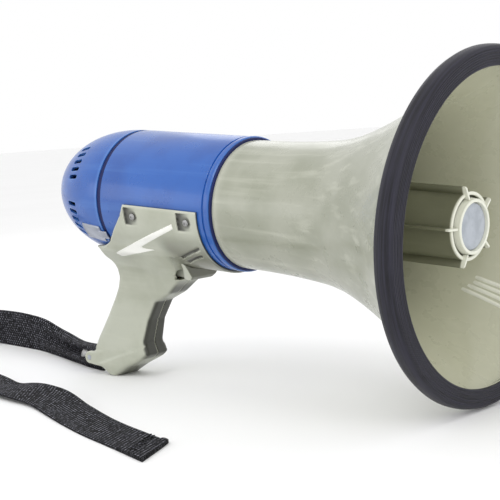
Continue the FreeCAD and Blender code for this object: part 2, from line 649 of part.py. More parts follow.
# ---------------------------------------------------------------- checks and export
doc.recompute()
for item in doc.Objects:
    if "Invalid" in item.State or "Error" in item.State:
        raise RuntimeError("%s did not compute: %s" % (item.Name, item.State))
for piece in nodes:
    if piece.Shape.isNull() or not piece.Shape.isValid() or not piece.Shape.Solids:
        raise RuntimeError("%s has no valid solid" % piece.Label)
os.makedirs("parts", exist_ok=True)
for piece in nodes:
    piece.Shape.exportStep("parts/%s.step" % piece.Label)
print("nodes", len(nodes), "tilt %.3f" % tilt, "shift", tuple(round(c, 3) for c in shift), "heel", heel)
places = {"rim centre": Vector(0, 0, 0), "knob": knob_spot, "slider": slider_spot, "mic": mic_spot}
for label, spot in places.items():
    print(label, tuple(round(c, 3) for c in standing.multVec(spot)))
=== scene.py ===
import json
import math

import bmesh
import bpy
import numpy as np
import openvdb
from mathutils import Matrix, Vector


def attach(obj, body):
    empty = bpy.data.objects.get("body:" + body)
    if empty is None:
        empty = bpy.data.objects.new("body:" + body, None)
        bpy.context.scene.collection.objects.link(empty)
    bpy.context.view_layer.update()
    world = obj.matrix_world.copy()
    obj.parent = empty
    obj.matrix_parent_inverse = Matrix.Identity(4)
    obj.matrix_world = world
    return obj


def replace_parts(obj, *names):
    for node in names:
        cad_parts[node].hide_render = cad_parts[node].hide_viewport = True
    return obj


# A handheld megaphone around its CAD frame. The horn's pieces are drawn in the
# horn's own frame, in millimetres: X along the horn and out of the bell, Y to
# the user's left, Z up, and the origin at the centre of the bell's front plane.
# "Back" is a distance behind that plane.

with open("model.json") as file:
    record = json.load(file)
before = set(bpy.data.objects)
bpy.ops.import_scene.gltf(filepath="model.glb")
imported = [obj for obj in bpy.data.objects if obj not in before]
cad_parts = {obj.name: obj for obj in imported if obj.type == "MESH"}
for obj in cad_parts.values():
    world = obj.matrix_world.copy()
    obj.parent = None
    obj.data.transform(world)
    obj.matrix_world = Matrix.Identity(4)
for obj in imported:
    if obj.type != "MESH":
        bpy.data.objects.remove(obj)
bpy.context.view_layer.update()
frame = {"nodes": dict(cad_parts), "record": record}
record = frame["record"]

MM = 0.001
MOUNT_RADIUS = 0.106            # the front-face mount lies this far above the rim's centre
mount = next(m for m in record["mounts"] if m["name"] == "bell_front_face")
ALONG = Vector(mount["axis"]).normalized()
UP = Vector((-ALONG.z, 0.0, ALONG.x))
ACROSS = UP.cross(ALONG)
RIM_CENTRE = Vector(mount["pos_m"]) - UP * MOUNT_RADIUS
HORN_TURN = Matrix((ALONG, ACROSS, UP)).transposed().to_4x4()
HORN = Matrix.Translation(RIM_CENTRE) @ HORN_TURN @ Matrix.Scale(MM, 4)
WORLD = Matrix.Identity(4)


# ---- camera
CAMERA_PLACE = (0.6301, -0.7291, 0.1880)
CAMERA_RIGHT = Vector((0.7509, 0.6566, -0.0703))
CAMERA_UP = Vector((-0.0063, 0.1135, 0.9935))
FOCAL_LENGTH = 96.57            # for a sensor 36 mm wide


def make_camera():
    data = bpy.data.cameras.new("camera")
    data.lens = FOCAL_LENGTH
    data.sensor_width = 36.0
    data.clip_start = 0.05
    camera = bpy.data.objects.new("camera", data)
    turn = Matrix((CAMERA_RIGHT, CAMERA_UP, CAMERA_RIGHT.cross(CAMERA_UP))).transposed()
    camera.matrix_world = Matrix.Translation(CAMERA_PLACE) @ turn.to_4x4()
    bpy.context.scene.collection.objects.link(camera)
    bpy.context.scene.camera = camera


make_camera()


# ---- node materials
class Finish:
    """A Principled material with a few node-building helpers. Its space is the horn's frame, in metres."""

    def __init__(self, name, roughness, metallic=0.0, coat=0.0, coat_roughness=0.05, sheen=0.0, specular=0.5):
        self.material = bpy.data.materials.new(name)
        self.material.use_nodes = True
        self.tree = self.material.node_tree
        self.shader = self.tree.nodes["Principled BSDF"]
        for socket, value in (("Roughness", roughness), ("Metallic", metallic), ("Coat Weight", coat),
                              ("Coat Roughness", coat_roughness), ("Sheen Weight", sheen),
                              ("Specular IOR Level", specular), ("IOR", 1.5)):
            self.shader.inputs[socket].default_value = value
        self.place = self.node("ShaderNodeTexCoord").outputs["Object"]

    def feed(self, socket, value):
        """Set a socket, or link it where the value is another node's output."""
        if isinstance(value, bpy.types.NodeSocket):
            self.tree.links.new(value, socket)
        else:
            socket.default_value = value

    def node(self, kind, sockets=(), **settings):
        made = self.tree.nodes.new(kind)
        for name, value in settings.items():
            setattr(made, name, value)
        for name, value in dict(sockets).items():
            self.feed(made.inputs[name], value)
        return made

    def horn_space(self):
        """Object coordinates turned level with the horn, about the rim's centre."""
        turn = (0.0, math.atan2(-ALONG.z, ALONG.x), 0.0)
        sockets = {"Location": RIM_CENTRE, "Rotation": turn, "Vector": self.place}
        return self.node("ShaderNodeMapping", sockets, vector_type="TEXTURE").outputs["Vector"]

    def parts(self, space):
        """The three components of a vector."""
        split = self.node("ShaderNodeSeparateXYZ", {0: space})
        return split.outputs["X"], split.outputs["Y"], split.outputs["Z"]

    def round_space(self):
        """(along the horn, distance from its axis, angle round it)."""
        along, across, height = self.parts(self.horn_space())
        flat = self.node("ShaderNodeCombineXYZ", {"Y": across, "Z": height}).outputs[0]
        radius = self.node("ShaderNodeVectorMath", {0: flat}, operation="LENGTH").outputs["Value"]
        angle = self.math("ARCTAN2", across, height)
        return self.node("ShaderNodeCombineXYZ", {"X": along, "Y": radius, "Z": angle}).outputs[0]

    def noise(self, scale, detail=3.0, source=None, stretch=None, rough=0.55):
        """Noise in object space, or in a source space that may be stretched by three factors."""
        vector = source or self.place
        if stretch:
            vector = self.node("ShaderNodeMapping", {"Scale": stretch, "Vector": vector}).outputs["Vector"]
        sockets = {"Scale": scale, "Detail": detail, "Roughness": rough, "Vector": vector}
        return self.node("ShaderNodeTexNoise", sockets).outputs["Fac"]

    def math(self, operation, a, b):
        return self.node("ShaderNodeMath", {0: a, 1: b}, operation=operation).outputs[0]

    def times(self, a, b):
        return self.math("MULTIPLY", a, b)

    def ramp(self, factor, low, high):
        """A smooth step from 0 to 1 between two values of the factor."""
        sockets = {"From Min": low, "From Max": high, "Value": factor}
        return self.node("ShaderNodeMapRange", sockets, interpolation_type="SMOOTHSTEP").outputs["Result"]

    def fall(self, factor, low, high):
        """A smooth step from 1 to 0."""
        return self.math("SUBTRACT", 1.0, self.ramp(factor, low, high))

    def mix(self, factor, a, b):
        a, b = [(*value, 1.0) if isinstance(value, tuple) else value for value in (a, b)]
        sockets = {"Factor": factor, "A": a, "B": b}
        return self.node("ShaderNodeMix", sockets, data_type="RGBA").outputs["Result"]

    def colour(self, socket):
        self.feed(self.shader.inputs["Base Color"], socket)

    def roughness(self, factor, low, high):
        spread = self.node("ShaderNodeMapRange", {"To Min": low, "To Max": high, "Value": factor})
        self.feed(self.shader.inputs["Roughness"], spread.outputs["Result"])

    def bump(self, *layers):
        """Layers of (height, distance in metres, strength), one on top of the other."""
        below = {}
        for height, distance, strength in layers:
            sockets = {"Distance": distance, "Strength": strength, "Height": height, **below}
            below = {"Normal": self.node("ShaderNodeBump", sockets).outputs["Normal"]}
        self.feed(self.shader.inputs["Normal"], below["Normal"])

    def edges(self):
        """1 along worn convex edges, 0 elsewhere."""
        return self.ramp(self.node("ShaderNodeNewGeometry").outputs["Pointiness"], 0.515, 0.56)

    def facing(self, way):
        """How far the surface faces a direction, from -1 to 1."""
        normal = self.node("ShaderNodeNewGeometry").outputs["Normal"]
        return self.node("ShaderNodeVectorMath", {0: normal, 1: way}, operation="DOT_PRODUCT").outputs["Value"]


def srgb(red, green, blue):
    """A linear colour from 8-bit sRGB values."""
    def linear(value):
        value = value / 255.0
        return value / 12.92 if value <= 0.04045 else ((value + 0.055) / 1.055) ** 2.4
    return (linear(red), linear(green), linear(blue))


def moulded(name, base, shade, edge, rough=0.3, coat=0.25, grain=1400.0, grain_depth=0.00002, streaks=0.25,
            marks=None):
    """Moulded plastic: cloudy colour, faint flow lines along the horn, rubbed edges and a fine skin.

    marks gives (factor, colour) pairs that are laid over the rest.
    """
    finish = Finish(name, rough, coat=coat, coat_roughness=0.12)
    clouds = finish.ramp(finish.noise(28.0, 4.0), 0.35, 0.7)
    flow = finish.noise(1.0, 3.0, finish.horn_space(), (6.0, 160.0, 160.0))
    tint = finish.mix(clouds, base, shade)
    tint = finish.mix(finish.times(finish.ramp(flow, 0.5, 0.75), streaks), tint, edge)
    specks = finish.ramp(finish.noise(420.0, 2.0), 0.72, 0.78)
    tint = finish.mix(finish.times(specks, 0.18), tint, tuple(c * 0.45 for c in shade))
    tint = finish.mix(finish.times(finish.edges(), 0.5), tint, edge)
    for factor, colour in marks(finish) if marks else ():
        tint = finish.mix(factor, tint, colour)
    finish.colour(tint)
    finish.roughness(finish.noise(60.0, 4.0), rough - 0.07, rough + 0.1)
    finish.bump((finish.noise(grain, 2.0), grain_depth, 0.35), (finish.noise(9.0, 2.0), 0.0006, 0.12))
    return finish.material


def saddle_grip_painted_shade(finish):
    """Painted shade under the saddle's front, down the grip's front face where the fingers close, and in the
    screw pockets.
    """
    along, _, height = finish.parts(finish.horn_space())
    under = finish.times(finish.fall(finish.facing(UP), -0.75, -0.3), finish.ramp(along, -0.262, -0.246))
    front = finish.times(finish.ramp(finish.facing(ALONG), 0.3, 0.75), finish.fall(height, -0.07, -0.058))
    pocket = finish.fall(finish.parts(finish.round_space())[1], 0.0499, 0.0512)
    # Each mask darkens the plastic as painted shade: downward faces, forward faces low on the grip, and the
    # pocket floors and walls.
    return ((finish.times(under, 0.85), srgb(104, 105, 90)), (front, srgb(50, 51, 42)),
            (finish.times(pocket, 0.95), srgb(26, 26, 20)))


def trigger_front_painted_shade(finish):
    """The trigger's front face, darkened as painted shade."""
    return ((finish.times(finish.ramp(finish.facing(ALONG), 0.2, 0.6), 0.9), srgb(84, 85, 70)),)


def bell_inside_tone_and_painted_light(finish):
    """The bell's inside: forward-facing surfaces painted lighter as painted light, and warmer in tone."""
    return ((finish.times(finish.ramp(finish.facing(ALONG), 0.0, 0.12), 0.85), srgb(178, 178, 153)),)


def painted_highlight_lip(finish):
    """The moulding's front edges, painted pale as a painted highlight."""
    along = finish.parts(finish.horn_space())[0]
    return ((finish.ramp(along, -0.0203, -0.0190), srgb(222, 223, 209)),)


def rubber(name, base, light):
    """Extruded rubber with fine streaks round the horn and a dusty bloom."""
    finish = Finish(name, 0.55, sheen=0.03, specular=0.3)
    lines = finish.noise(1.0, 4.0, finish.round_space(), (900.0, 900.0, 2.0), 0.7)
    bloom = finish.ramp(finish.noise(35.0, 5.0), 0.4, 0.75)
    tint = finish.mix(finish.ramp(lines, 0.35, 0.68), base, light)
    finish.colour(finish.mix(finish.times(bloom, 0.35), tint, light))
    finish.roughness(lines, 0.42, 0.66)
    finish.bump((lines, 0.0003, 0.5), (finish.noise(2200.0, 2.0), 0.00003, 0.4))
    return finish.material


def metal(name, base, dull, rough):
    """Bare or plated metal with drawn lines, handling marks and dull patches."""
    finish = Finish(name, rough, metallic=1.0)
    drawn = finish.noise(1.0, 3.0, finish.horn_space(), (40.0, 900.0, 900.0))
    patches = finish.ramp(finish.noise(240.0, 5.0), 0.45, 0.75)
    finish.colour(finish.mix(finish.times(patches, 0.3), base, dull))
    finish.roughness(drawn, rough - 0.1, rough + 0.18)
    finish.bump((drawn, 0.00004, 0.4))
    return finish.material


def coated(name, base, second, rough, scale):
    """A plain technical surface, mottled at a fine scale."""
    finish = Finish(name, rough)
    mottle = finish.noise(scale, 4.0)
    finish.colour(finish.mix(finish.ramp(mottle, 0.35, 0.7), base, second))
    finish.roughness(mottle, rough - 0.12, rough + 0.14)
    finish.bump((finish.noise(scale * 5.0, 2.0), 0.00004, 0.4))
    return finish.material


def wound(name, base, gap, pitch):
    """Wire wound round the horn's axis: rows side by side along it."""
    finish = Finish(name, 0.3, metallic=1.0)
    sockets = {"Scale": 1.0 / (pitch * math.tau), "Vector": finish.horn_space()}
    wave = finish.node("ShaderNodeTexWave", sockets, bands_direction="X")
    finish.colour(finish.mix(wave.outputs["Fac"], gap, base))
    finish.bump((wave.outputs["Fac"], pitch / 2, 0.8))
    return finish.material


def board_mask(name):
    """Green solder mask over copper tracks."""
    finish = Finish(name, 0.35, coat=0.3)
    cells = finish.node("ShaderNodeTexBrick", {"Scale": 320.0, "Vector": finish.horn_space()})
    tracks = finish.ramp(cells.outputs["Fac"], 0.2, 0.8)
    finish.colour(finish.mix(tracks, (0.02, 0.13, 0.05), (0.06, 0.28, 0.11)))
    finish.bump((tracks, 0.00005, 0.6))
    return finish.material


WEAVE_ROWS = 1.9e-3             # one pick of the webbing, along its length
WEAVE_COLUMNS = 2.1e-3          # one warp cord, across its width


def webbing(name):
    """Black nylon webbing: a plain weave that follows the band, with painted highlights where the yarns stand
    proud and patches of grey wear.
    """
    finish = Finish(name, 0.85, specular=0.12)
    along, across, _ = finish.parts(finish.node("ShaderNodeTexCoord").outputs["UV"])
    along = finish.math("ADD", along, finish.times(finish.noise(160.0, 2.0), 0.0006))
    rows = finish.math("SINE", finish.times(along, math.pi / WEAVE_ROWS), 0.0)
    columns = finish.math("SINE", finish.times(across, math.pi / WEAVE_COLUMNS), 0.0)
    weave = finish.times(rows, columns)
    height = finish.math("MULTIPLY_ADD", weave, 0.5)
    yarns = finish.ramp(height, 0.0, 1.0)
    fuzz = finish.noise(1800.0, 3.0, rough=0.7)
    # Yarn crowns painted near-white: painted highlights.
    crown_highlights = finish.times(finish.ramp(weave, 0.1, 0.95), finish.ramp(fuzz, 0.38, 0.62))
    crown_highlights = finish.times(crown_highlights, finish.ramp(finish.noise(330.0, 3.0), 0.36, 0.62))
    worn = finish.ramp(finish.noise(48.0, 5.0), 0.36, 0.68)
    tint = finish.mix(crown_highlights, srgb(9, 9, 12), srgb(196, 196, 210))
    finish.colour(finish.mix(finish.times(worn, 0.2), tint, srgb(40, 40, 48)))
    finish.roughness(fuzz, 0.6, 0.85)
    finish.bump((yarns, 0.00035, 0.9), (fuzz, 0.00012, 0.5))
    return finish.material


HORN_LIGHT = srgb(163, 165, 150)
HORN_SHADE = srgb(147, 150, 133)
HORN_EDGE = srgb(216, 217, 202)
# Each finish: the function that makes it, then what it is given after the name.
FINISHES = {
    # The horn's grey; forward-facing surfaces inside the bell are painted lighter as painted light, and warmer
    # in tone.
    "grey_plastic": (moulded, HORN_LIGHT, HORN_SHADE, HORN_EDGE, 0.27, 0.3, 1400.0, 0.00002, 0.25,
                     bell_inside_tone_and_painted_light),
    # The grip's plastic, with painted shade under the saddle, on the grip's front and in the screw pockets.
    "grip_plastic": (moulded, srgb(184, 187, 172), srgb(170, 173, 156), HORN_EDGE, 0.33, 0.15,
                     1100.0, 0.00004, 0.1, saddle_grip_painted_shade),
    # A darker copy of the horn's grey for the reflector deep in the bell: painted shade.
    "reflector_grey": (moulded, srgb(104, 105, 84), srgb(90, 91, 70), srgb(128, 129, 110), 0.4, 0.1,
                       1400.0, 0.00002, 0.2, painted_highlight_lip),
    # Near-white gloss for the saddle's ridge: a painted highlight.
    "polished_grey": (moulded, srgb(250, 250, 244), srgb(244, 244, 236), srgb(244, 244, 238), 0.16, 0.4,
                      1400.0, 0.00001, 0.1),
    # The trigger's plastic is set paler than the grip's as painted light on the paddle's lit side; its front
    # face gets painted shade.
    "trigger_plastic": (moulded, srgb(206, 208, 196), srgb(192, 194, 180), HORN_EDGE, 0.36, 0.1,
                        1100.0, 0.00004, 0.1, trigger_front_painted_shade),
    # Paler grey for the bell's ribs, lighter than the bell as a painted highlight.
    "pale_grey": (moulded, srgb(206, 207, 190), srgb(196, 197, 180), srgb(230, 230, 216), 0.2, 0.3),
    "blue_plastic": (moulded, srgb(36, 92, 174), srgb(28, 80, 160), srgb(96, 146, 214), 0.28, 0.25,
                     1500.0, 0.00002, 0.15),
    "dark_blue_seal": (rubber, srgb(12, 22, 72), srgb(20, 32, 90)),
    "rim_rubber": (rubber, srgb(15, 14, 22), srgb(42, 41, 54)),
    "disc_plastic": (coated, srgb(170, 176, 184), srgb(154, 160, 168), 0.45, 120.0),
    "black_plastic": (coated, srgb(30, 30, 34), srgb(44, 44, 48), 0.45, 500.0),
    "diaphragm_film": (coated, srgb(150, 120, 60), srgb(176, 144, 80), 0.35, 200.0),
    "copper_winding": (wound, (0.80, 0.36, 0.16), (0.12, 0.04, 0.02), 0.00022),
    "plated_steel": (metal, (0.40, 0.40, 0.40), (0.20, 0.20, 0.20), 0.38),
    "bright_steel": (metal, (0.52, 0.55, 0.62), (0.30, 0.34, 0.44), 0.34),
    "spring_steel": (metal, (0.50, 0.50, 0.52), (0.24, 0.24, 0.25), 0.3),
    "ferrite": (coated, srgb(58, 58, 60), srgb(78, 78, 80), 0.6, 800.0),
    "cell_wrap": (coated, srgb(44, 46, 54), srgb(60, 64, 74), 0.3, 150.0),
    "circuit_board": (board_mask,),
    "aluminium": (metal, (0.78, 0.79, 0.80), (0.5, 0.5, 0.51), 0.35),
    "capacitor_sleeve": (coated, srgb(32, 40, 72), srgb(46, 56, 94), 0.35, 250.0),
    "switch_button": (coated, srgb(150, 52, 40), srgb(124, 40, 30), 0.45, 400.0),
    "strap_webbing": (webbing,),
}
MATERIALS = {name: make(name, *given) for name, (make, *given) in FINISHES.items()}


def dress(thing, material):
    """One material on every face of a piece."""
    thing.data.materials.clear()
    thing.data.materials.append(MATERIALS[material])
    for polygon in thing.data.polygons:
        polygon.material_index = 0


for subpart in record["subparts"]:
    carried = frame["nodes"][subpart["node"]]
    for place in carried.material_slots:
        place.material = MATERIALS[subpart["material_slot"]]


# ---- mesh helpers
def built(name, vertices, faces, body, slot_name, space=HORN, crease=32.0):
    """An object from vertices and faces, drawn in the horn's frame unless space says otherwise."""
    mesh = bpy.data.meshes.new(name)
    mesh.from_pydata([space @ Vector(v) for v in vertices], [], faces)
    return finished(name, mesh, body, slot_name, crease)


def smoothed(mesh, crease):
    """Smooth shading, but for edges sharper than the crease."""
    mesh.polygons.foreach_set("use_smooth", [True] * len(mesh.polygons))
    mesh.set_sharp_from_angle(angle=math.radians(crease))


def finished(name, mesh, body, slot_name, crease=32.0):
    """A cleaned mesh as an object that rides on a body and takes a slot's finish."""
    shape = bmesh.new()
    shape.from_mesh(mesh)
    bmesh.ops.remove_doubles(shape, verts=shape.verts, dist=1e-7)
    bmesh.ops.recalc_face_normals(shape, faces=shape.faces)
    shape.to_mesh(mesh)
    shape.free()
    mesh.validate()
    smoothed(mesh, crease)
    thing = bpy.data.objects.new(name, mesh)
    bpy.context.scene.collection.objects.link(thing)
    dress(thing, slot_name)
    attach(thing, body)
    return thing


def with_modifiers(thing, crease=32.0):
    """Bake an object's modifiers into its mesh."""
    graph = bpy.context.evaluated_depsgraph_get()
    baked = bpy.data.meshes.new_from_object(thing.evaluated_get(graph))
    thing.modifiers.clear()
    thing.data = baked
    smoothed(baked, crease)
    return thing


def smooth_line(points, steps):
    """A Catmull-Rom curve through points."""
    points = np.array(points, float)
    ends = np.vstack([2 * points[0] - points[1], points, 2 * points[-1] - points[-2]])
    line = []
    for a, b, c, d in zip(ends, ends[1:], ends[2:], ends[3:]):
        for share in np.arange(steps) / steps:
            line.append(0.5 * (2 * b + (c - a) * share + (2 * a - 5 * b + 4 * c - d) * share ** 2
                               + (3 * b - a - 3 * c + d) * share ** 3))
    return [tuple(p) for p in line] + [tuple(points[-1])]


def filleted(corners, steps=4):
    """An outline whose corners (back, radius, fillet) are rounded; a corner with no fillet stays sharp."""
    line = []
    count = len(corners)
    for i, corner in enumerate(corners):
        here = np.array(corner[:2], float)
        size = corner[2] if len(corner) > 2 else 0.0
        if not size:
            line.append(tuple(here))
            continue
        before = np.array(corners[i - 1][:2], float) - here
        after = np.array(corners[(i + 1) % count][:2], float) - here
        start = here + before / np.linalg.norm(before) * size
        end = here + after / np.linalg.norm(after) * size
        for share in np.linspace(0, 1, steps + 1):
            line.append(tuple((1 - share) ** 2 * start + 2 * share * (1 - share) * here + share ** 2 * end))
    return line


def lathe(name, outline, body, slot_name, segments=192, crease=32.0):
    """A closed outline of (back, radius) turned about the horn's axis."""
    vertices = []
    rings = []
    for back, radius in outline:
        if radius < 1e-6:
            rings.append([len(vertices)] * segments)
            vertices.append((-back, 0.0, 0.0))
            continue
        rings.append(list(range(len(vertices), len(vertices) + segments)))
        for i in range(segments):
            turn = 2 * math.pi * i / segments
            vertices.append((-back, radius * math.sin(turn), radius * math.cos(turn)))
    faces = []
    for near, far in zip(rings, rings[1:] + rings[:1]):
        for i in range(segments):
            j = (i + 1) % segments
            corners = [near[i], near[j], far[j], far[i]]
            face = [v for k, v in enumerate(corners) if v not in corners[:k]]
            if len(face) > 2:
                faces.append(face)
    return built(name, vertices, faces, body, slot_name, crease=crease)


def bevelled(thing, width):
    """A piece with its sharp edges rounded, by a width in millimetres."""
    modifier = thing.modifiers.new("bevel", "BEVEL")
    modifier.width = width * MM
    modifier.segments = 2
    modifier.limit_method = "ANGLE"
    modifier.angle_limit = math.radians(30.0)
    return with_modifiers(thing)


def lofted(vertices, count):
    """Rings of so many vertices, with the faces that join each ring to the next and close both ends."""
    last = len(vertices) - count
    faces = []
    for start in range(0, last, count):
        for i in range(start, start + count):
            j = start + (i + 1 - start) % count
            faces.append((i, j, j + count, i + count))
    return vertices, faces + [tuple(range(count)), tuple(range(last + count - 1, last - 1, -1))]


def rings_about(base, way, one, two, profile, count):
    """Rings of points about an axis: one ring for each (distance along the axis, radius)."""
    turns = [math.tau * i / count for i in range(count)]
    return [tuple(base + way * height + (one * math.cos(turn) + two * math.sin(turn)) * radius)
            for height, radius in profile for turn in turns]


def joined(name, parts, body, slot_name, space=HORN, crease=32.0):
    """One object from (vertices, faces) parts."""
    vertices, faces = [], []
    for part_vertices, part_faces in parts:
        start = len(vertices)
        vertices += part_vertices
        faces += [tuple(start + v for v in face) for face in part_faces]
    return built(name, vertices, faces, body, slot_name, space, crease)


def extruded(outline, low, high, way):
    """A prism: an outline in a plane, pushed square to it. way maps (a, b, depth) to a point."""
    return lofted([way(a, b, depth) for depth in (low, high) for a, b in outline], len(outline))


def eased(values, count):
    """A row of numbers smoothed over a window of an odd count of them."""
    kernel = np.hanning(count)
    return np.convolve(np.pad(values, count // 2, mode="edge"), kernel / kernel.sum(), mode="valid")


def turn_about_horn(point, degrees):
    """A point turned about the horn's axis."""
    turn = math.radians(degrees)
    x, y, z = point
    return (x, y * math.cos(turn) - z * math.sin(turn), y * math.sin(turn) + z * math.cos(turn))


# ---- strap
STRAP_WIDTH = 32.0
STRAP_THICKNESS = 1.6
STRAP_LIFT = 0.6
HEM_LENGTH = 24.0               # the free end is folded back on itself and sewn
HEM_RISE = 1.3
CUT_SLANT = 32.0                # the free end is cut at a slant: its far edge is this much shorter
STRAP_STEP = 0.0016             # metres between the mesh's rings
STRAP_COLUMNS = 26
RIPPLES = (41, 67, 23, 95, 130, 57)
STRAP_ROUTE = [(-375, 0), (-396, 6), (-422, 16), (-462, 33), (-508, 48), (-560, 62), (-612, 74),
               (-664, 72), (-708, 52), (-732, 14), (-726, -30), (-692, -64), (-644, -84), (-592, -90),
               (-536, -84), (-482, -75), (-430, -79), (-388, -94), (-350, -103), (-312, -109),
               (-258, -134), (-206, -156), (-165, -170), (-131, -182.6)]


def strap_spline():
    """The route's NURBS line, on the floor under the webbing, as points in metres."""
    curve = bpy.data.curves.new("strap_line", "CURVE")
    curve.dimensions = "3D"
    curve.resolution_u = 24
    spline = curve.splines.new("NURBS")
    spline.points.add(len(STRAP_ROUTE) - 1)
    for point, (x, y) in zip(spline.points, STRAP_ROUTE):
        point.co = (x * MM + RIM_CENTRE.x, y * MM, STRAP_LIFT * MM, 1.0)
    spline.order_u = 3
    spline.use_endpoint_u = True
    holder = bpy.data.objects.new("strap_line", curve)
    line = bpy.data.meshes.new_from_object(holder)
    points = [vertex.co.copy() for vertex in line.vertices]
    bpy.data.objects.remove(holder)
    return points


# How the webbing lies: distance along it, lean (90 stands on its edge, 180 lies flat, fallen away from
# the camera's side), lift off the floor, and the share of its width that is left where it is gathered.
STRAP_LIE = [(0, 76, 0.0, 0.66), (30, 72, 0.0, 0.64), (57, 70, 0.0, 0.62), (80, 72, 0.0, 0.68),
             (108, 78, 0.0, 0.76), (135, 84, 0.0, 0.92), (160, 90, 0.0, 1.0), (200, 80, 0.0, 1.0),
             (245, 70, 0.0, 1.0), (320, 76, 0.0, 1.0), (430, 88, 0.0, 1.0), (520, 95, 0.0, 1.0),
             (620, 118, 0.0, 1.0), (690, 150, 0.5, 1.0), (730, 170, 0.6, 1.0), (760, 175, 1.0, 0.98),
             (790, 180, 2.0, 0.93), (812, 175, 3.0, 0.96), (835, 171, 3.0, 1.0), (862, 172, 1.8, 1.0),
             (900, 177, 0.5, 1.0), (960, 179, 0.0, 1.0), (1066, 179, 0.0, 1.0)]


def strap_lie(stations):
    """Lean in radians, lift in metres and width share at each station."""
    table = np.array(STRAP_LIE, float)
    lean, lift, share = [eased(np.interp(stations / MM, table[:, 0], table[:, i]), 25) for i in (1, 2, 3)]
    return np.radians(lean), lift * MM, share


def make_strap():
    """The webbing swept along the route's spline, its length, and its middle line with its two directions."""
    points = strap_spline()
    steps = [0.0]
    for a, b in zip(points, points[1:]):
        steps.append(steps[-1] + (b - a).length)
    length = steps[-1]
    stations = np.linspace(0, length, int(length / STRAP_STEP) + 1)
    coordinates = np.array([tuple(p) for p in points])
    line = np.column_stack([np.interp(stations, steps, coordinates[:, i]) for i in range(3)])
    ahead = np.gradient(line, axis=0)
    ahead /= np.linalg.norm(ahead, axis=1)[:, None]
    lean, lift, gather = strap_lie(stations)
    side = np.column_stack([ahead[:, 1], -ahead[:, 0], np.zeros(len(line))])
    upright = np.array([0.0, 0.0, 1.0])
    half = STRAP_WIDTH * MM / 2
    # The band's middle line stays over the route; a standing band rises to half its width.
    centre = line + upright * (np.sin(lean) * half * gather + lift)[:, None]
    width_way = side * np.cos(lean)[:, None] + upright * np.sin(lean)[:, None]
    face_way = np.cross(ahead, width_way)
    vertices, uvs = [], []
    across = [2 * j / STRAP_COLUMNS - 1 for j in range(STRAP_COLUMNS + 1)]
    loop = [(v, 1) for v in across] + [(v, -1) for v in reversed(across)]
    rng = np.random.default_rng(7)
    phases = rng.uniform(0, 6.28, 6)
    for i, station in enumerate(stations):
        ripple = sum(0.35 * math.sin(station * k + p) for k, p in zip(RIPPLES, phases))
        for v, face in loop:
            selvedge = 1.0 - 0.45 * max(0.0, (abs(v) - 0.93) / 0.07) ** 2
            cup = 0.9 * ripple * MM * (v * v - 0.35) * min(1.0, math.sin(lean[i]) + 0.15)
            folds = 0.0105 * (1.0 - gather[i]) * math.sin(v * 6.5 + 1.0)
            slant = CUT_SLANT * MM * v / 2 * max(0.0, 1.0 - (length - station) / 0.07)
            p = centre[i] - ahead[i] * slant + width_way[i] * v * half * gather[i]
            past_fold = station - slant - length + HEM_LENGTH * MM
            hem = HEM_RISE * MM * min(1.0, max(0.0, past_fold / (2.0 * MM)))
            face_out = face * STRAP_THICKNESS * MM / 2 * selvedge + (hem if face > 0 else 0.0)
            p = p + face_way[i] * (cup + folds + face_out)
            vertices.append((p[0], p[1], max(p[2], 0.0002)))
            uvs.append((station - slant, v * half + (face > 0) * 0.1))
    vertices, faces = lofted(vertices, len(loop))
    mesh = bpy.data.meshes.new("strap_webbing")
    mesh.from_pydata(vertices, [], faces)
    layer = mesh.uv_layers.new(name="weave")
    for item in mesh.loops:
        layer.data[item.index].uv = uvs[item.vertex_index]
    band = finished("strap_webbing", mesh, "megaphone", "strap_webbing", 50.0)
    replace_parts(band, "strap")
    return band, length, centre, width_way, face_way


band, strap_length, strap_centre, strap_width_way, strap_face_way = make_strap()


# ---- bell and rim
FLARE = [(199.0, 46.5), (170.0, 46.9), (145.0, 48.0), (120.0, 50.2), (104.0, 53.4), (92.0, 57.2),
         (80.0, 62.0), (68.0, 67.4), (56.0, 73.4), (44.0, 80.2), (30.0, 89.5), (18.0, 98.5), (9.0, 106.0)]
BELL_WALL = 2.4
RIM_RADIUS = 115.0
RIM_INNER = 101.5
BELL_RIBS = [(126.6, 50.5), (129.6, 52.0), (132.6, 54.0), (136.0, 55.5)]     # angle, back end
RIB_FRONT = 16.0
RIB_HEIGHT = 1.5


def offset_inwards(line, wall):
    """The line moved towards the axis by the wall's thickness, square to itself."""
    line = np.array(line)
    way = np.gradient(line, axis=0)
    way /= np.linalg.norm(way, axis=1)[:, None]
    square = np.column_stack([way[:, 1], -way[:, 0]])
    square *= np.where(square[:, 1] > 0, -1, 1)[:, None]
    return [tuple(p) for p in line + square * wall]


def make_bell():
    outer = smooth_line(FLARE, 5)
    inner = offset_inwards(outer, BELL_WALL)[::-1]
    inner = [p for p in inner if p[0] > 7.0]
    lip = [(2.0, RIM_RADIUS - 3.0), (2.0, RIM_INNER + 0.6), (2.6, RIM_INNER)]
    flange = filleted([(208.0, 43.4), (208.0, 34.0), (212.0, 34.0), (212.0, 45.8, 0.6), (199.0, 45.8)])
    outline = outer + lip + inner + flange
    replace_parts(lathe("bell_horn", outline, "megaphone", "grey_plastic", 256, 24.0), "bell")


def make_rim():
    grooves = []
    for i in range(7):
        radius = RIM_INNER + 1.6 + i * 1.45
        grooves += [(0.0, radius - 0.45), (0.28, radius - 0.2), (0.28, radius + 0.2), (0.0, radius + 0.45)]
    outline = filleted([(0.0, RIM_INNER, 0.6)] + grooves + [
        (0.0, RIM_RADIUS - 2.6), (1.2, RIM_RADIUS - 0.9, 0.8), (4.0, RIM_RADIUS, 1.2),
        (9.0, RIM_RADIUS, 1.6), (13.0, RIM_RADIUS - 2.2, 1.0), (13.0, 109.0, 0.6),
        (9.1, 106.2), (1.9, RIM_RADIUS - 2.9), (1.9, RIM_INNER, 0.3)])
    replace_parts(lathe("rim_bumper", outline, "megaphone", "rim_rubber", 256, 40.0), "bell_rim")


